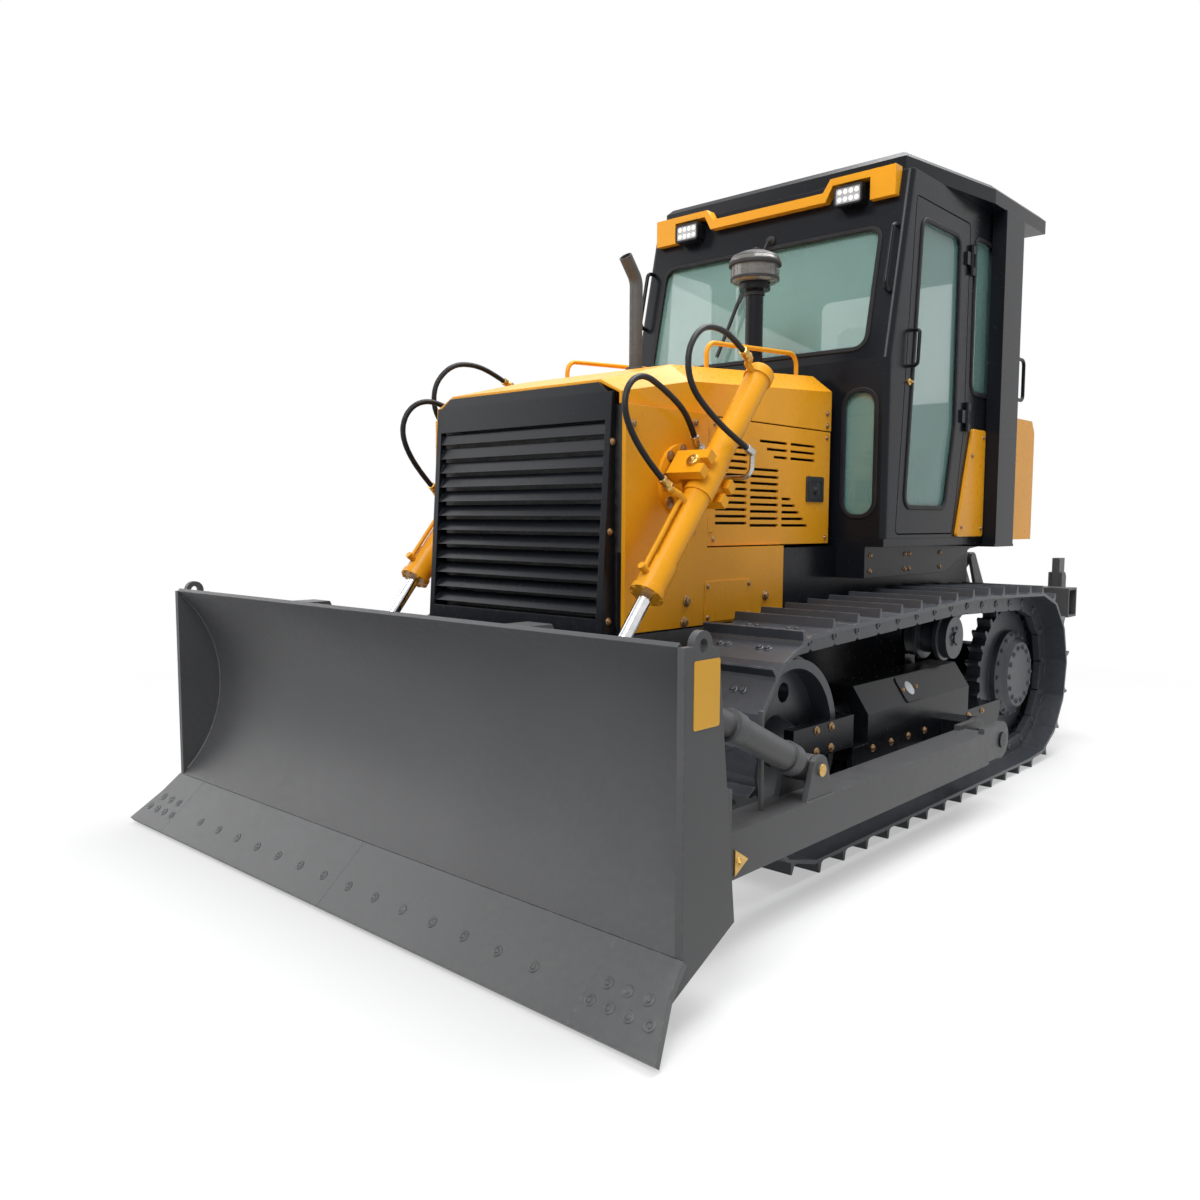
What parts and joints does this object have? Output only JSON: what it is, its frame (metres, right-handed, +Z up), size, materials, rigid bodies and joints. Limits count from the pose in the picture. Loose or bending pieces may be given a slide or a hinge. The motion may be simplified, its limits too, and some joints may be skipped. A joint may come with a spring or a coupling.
{
  "type": "crawler bulldozer",
  "caption": "Tracked earth-moving dozer with a straight front blade on push arms, hydraulic lift cylinders, an enclosed cab with hinged doors and a rear ripper on parallel links.",
  "frame": {"origin": "on the ground, in the middle of the machine's length and width", "axes": "+Z up, -Y towards the blade, +X to the machine's left"},
  "size_m": [3.158, 5.21, 3.286],
  "materials": {
    "black_paint": "gloss near-black enamel",
    "cab_glazing": "clear slightly green glass",
    "chrome_rod": "polished hard chrome",
    "clear_plastic": "smoked clear plastic",
    "dark_plastic": "dark grey moulded plastic",
    "edge_steel": "satin dark grey enamel on hardened edges",
    "engine_iron": "dull dark iron",
    "fitting_steel": "zinc-plated steel",
    "grey_paint": "satin dark grey enamel",
    "hose_rubber": "black rubber",
    "lamp_lens": "clear lamp lens",
    "seat_cover": "black vinyl",
    "track_steel": "dark lightly scuffed steel",
    "yellow_paint": "semi-gloss warm yellow enamel"
  },
  "bodies": {
    "chassis": {"cab_fittings": "black_paint", "cab_floor": "black_paint", "cab_front_wall": "black_paint", "cab_glass": "cab_glazing", "cab_rear_wall": "black_paint", "cab_roof": "black_paint", "cab_side_wall_left": "black_paint", "cab_side_wall_right": "black_paint", "cab_visor": "yellow_paint", "console": "dark_plastic", "exhaust_stack": "engine_iron", "final_drives": "black_paint", "grille": "black_paint", "hood": "yellow_paint", "hood_rails": "yellow_paint", "hose_fittings": "fitting_steel", "hose_lower_left": "hose_rubber", "hose_lower_right": "hose_rubber", "hose_upper_left": "hose_rubber", "hose_upper_right": "hose_rubber", "intake_pipe": "black_paint", "lift_brackets": "yellow_paint", "main_frame": "black_paint", "nose_plates": "yellow_paint", "powertrain": "engine_iron", "precleaner": "clear_plastic", "radiator_core": "engine_iron", "rear_tank": "yellow_paint", "rops_posts": "black_paint", "seat": "dark_plastic", "seat_back": "seat_cover", "seat_cushion": "seat_cover", "side_covers": "yellow_paint", "sprockets": "track_steel", "track_frames": "black_paint", "track_left": "track_steel", "track_right": "track_steel", "track_wheels": "track_steel", "work_lamps": "lamp_lens"},
    "blade": {"blade": "grey_paint", "blade_back": "grey_paint", "blade_end_plates": "grey_paint", "cutting_edges": "edge_steel", "push_arms": "grey_paint"},
    "lift_barrel_left": {"lift_barrel_left": "yellow_paint"},
    "lift_barrel_right": {"lift_barrel_right": "yellow_paint"},
    "lift_rod_left": {"lift_rod_left": "chrome_rod"},
    "lift_rod_right": {"lift_rod_right": "chrome_rod"},
    "cab_door_left": {"cab_door_left": "black_paint", "cab_door_glass_left": "cab_glazing"},
    "cab_door_right": {"cab_door_right": "black_paint", "cab_door_glass_right": "cab_glazing"},
    "engine_door_left": {"engine_door_left": "yellow_paint"},
    "engine_door_right": {"engine_door_right": "yellow_paint"},
    "ripper_lower_links": {"ripper_lower_links": "grey_paint"},
    "ripper_upper_links": {"ripper_upper_links": "grey_paint"},
    "ripper_beam": {"ripper_beam": "grey_paint", "ripper_shanks": "edge_steel"},
    "ripper_barrel": {"ripper_barrel": "grey_paint"},
    "ripper_rod": {"ripper_rod": "chrome_rod"}
  },
  "joints": [
    {"name": "blade_lift", "type": "hinge", "parent": "chassis", "child": "blade", "pos_m": [0, 0.45, 0.35], "axis": [1, 0, 0], "range_deg": [-17, 8]},
    {"name": "lift_barrel_left_swing", "type": "hinge", "parent": "chassis", "child": "lift_barrel_left", "pos_m": [0.713, -1.246, 1.59], "axis": [1, 0, 0], "range_deg": [-22.43, 10.82], "deforming": ["hose_lower_left", "hose_upper_left"]},
    {"name": "lift_rod_left_slide", "type": "slide", "parent": "lift_barrel_left", "child": "lift_rod_left", "axis": [0, -0.634, -0.7734], "range_m": [-0.61621, 0.29263]},
    {"name": "lift_barrel_right_swing", "type": "hinge", "parent": "chassis", "child": "lift_barrel_right", "pos_m": [-0.713, -1.246, 1.59], "axis": [1, 0, 0], "range_deg": [-22.43, 10.82], "deforming": ["hose_lower_right", "hose_upper_right"]},
    {"name": "lift_rod_right_slide", "type": "slide", "parent": "lift_barrel_right", "child": "lift_rod_right", "axis": [0, -0.634, -0.7734], "range_m": [-0.61621, 0.29263]},
    {"name": "cab_door_left_hinge", "type": "hinge", "parent": "chassis", "child": "cab_door_left", "pos_m": [0.833, 1.02, 2.2], "axis": [0, 0, 1], "range_deg": [0, 90]},
    {"name": "engine_door_left_hinge", "type": "hinge", "parent": "chassis", "child": "engine_door_left", "pos_m": [0.568, -1.036, 1.6], "axis": [0, 0, -1], "range_deg": [0, 35]},
    {"name": "cab_door_right_hinge", "type": "hinge", "parent": "chassis", "child": "cab_door_right", "pos_m": [-0.833, 1.02, 2.2], "axis": [0, 0, -1], "range_deg": [0, 90]},
    {"name": "engine_door_right_hinge", "type": "hinge", "parent": "chassis", "child": "engine_door_right", "pos_m": [-0.568, -1.036, 1.6], "axis": [0, 0, 1], "range_deg": [0, 35]},
    {"name": "ripper_lower", "type": "hinge", "parent": "chassis", "child": "ripper_lower_links", "pos_m": [0, 1.83, 0.64], "axis": [-1, 0, 0], "range_deg": [0, 60]},
    {"name": "ripper_upper_swing", "type": "hinge", "parent": "chassis", "child": "ripper_upper_links", "pos_m": [0, 1.83, 0.94], "axis": [-1, 0, 0], "range_deg": [-0.5, 60.5]},
    {"name": "ripper_beam_swing", "type": "hinge", "parent": "ripper_lower_links", "child": "ripper_beam", "pos_m": [0, 2.29, 0.88], "axis": [-1, 0, 0], "range_deg": [-60.5, 0.5]},
    {"name": "ripper_barrel_swing", "type": "hinge", "parent": "chassis", "child": "ripper_barrel", "pos_m": [0, 1.84, 1.15], "axis": [-1, 0, 0], "range_deg": [-0.5, 28.7]},
    {"name": "ripper_rod_slide", "type": "slide", "parent": "ripper_barrel", "child": "ripper_rod", "axis": [0, 0.8262, -0.5633], "range_m": [-0.005, 0.40294]}
  ],
  "couplings": [
    {"joint": "lift_barrel_left_swing", "follows": "blade_lift", "ratio": 1.29},
    {"joint": "lift_rod_left_slide", "follows": "blade_lift", "m_per_rad": 2.06},
    {"joint": "lift_barrel_right_swing", "follows": "blade_lift", "ratio": 1.29},
    {"joint": "lift_rod_right_slide", "follows": "blade_lift", "m_per_rad": 2.06},
    {"joint": "ripper_upper_swing", "follows": "ripper_lower", "ratio": 1},
    {"joint": "ripper_beam_swing", "follows": "ripper_lower", "ratio": -1},
    {"joint": "ripper_barrel_swing", "follows": "ripper_lower", "ratio": 0.47},
    {"joint": "ripper_rod_slide", "follows": "ripper_lower", "m_per_rad": 0.38}
  ]
}
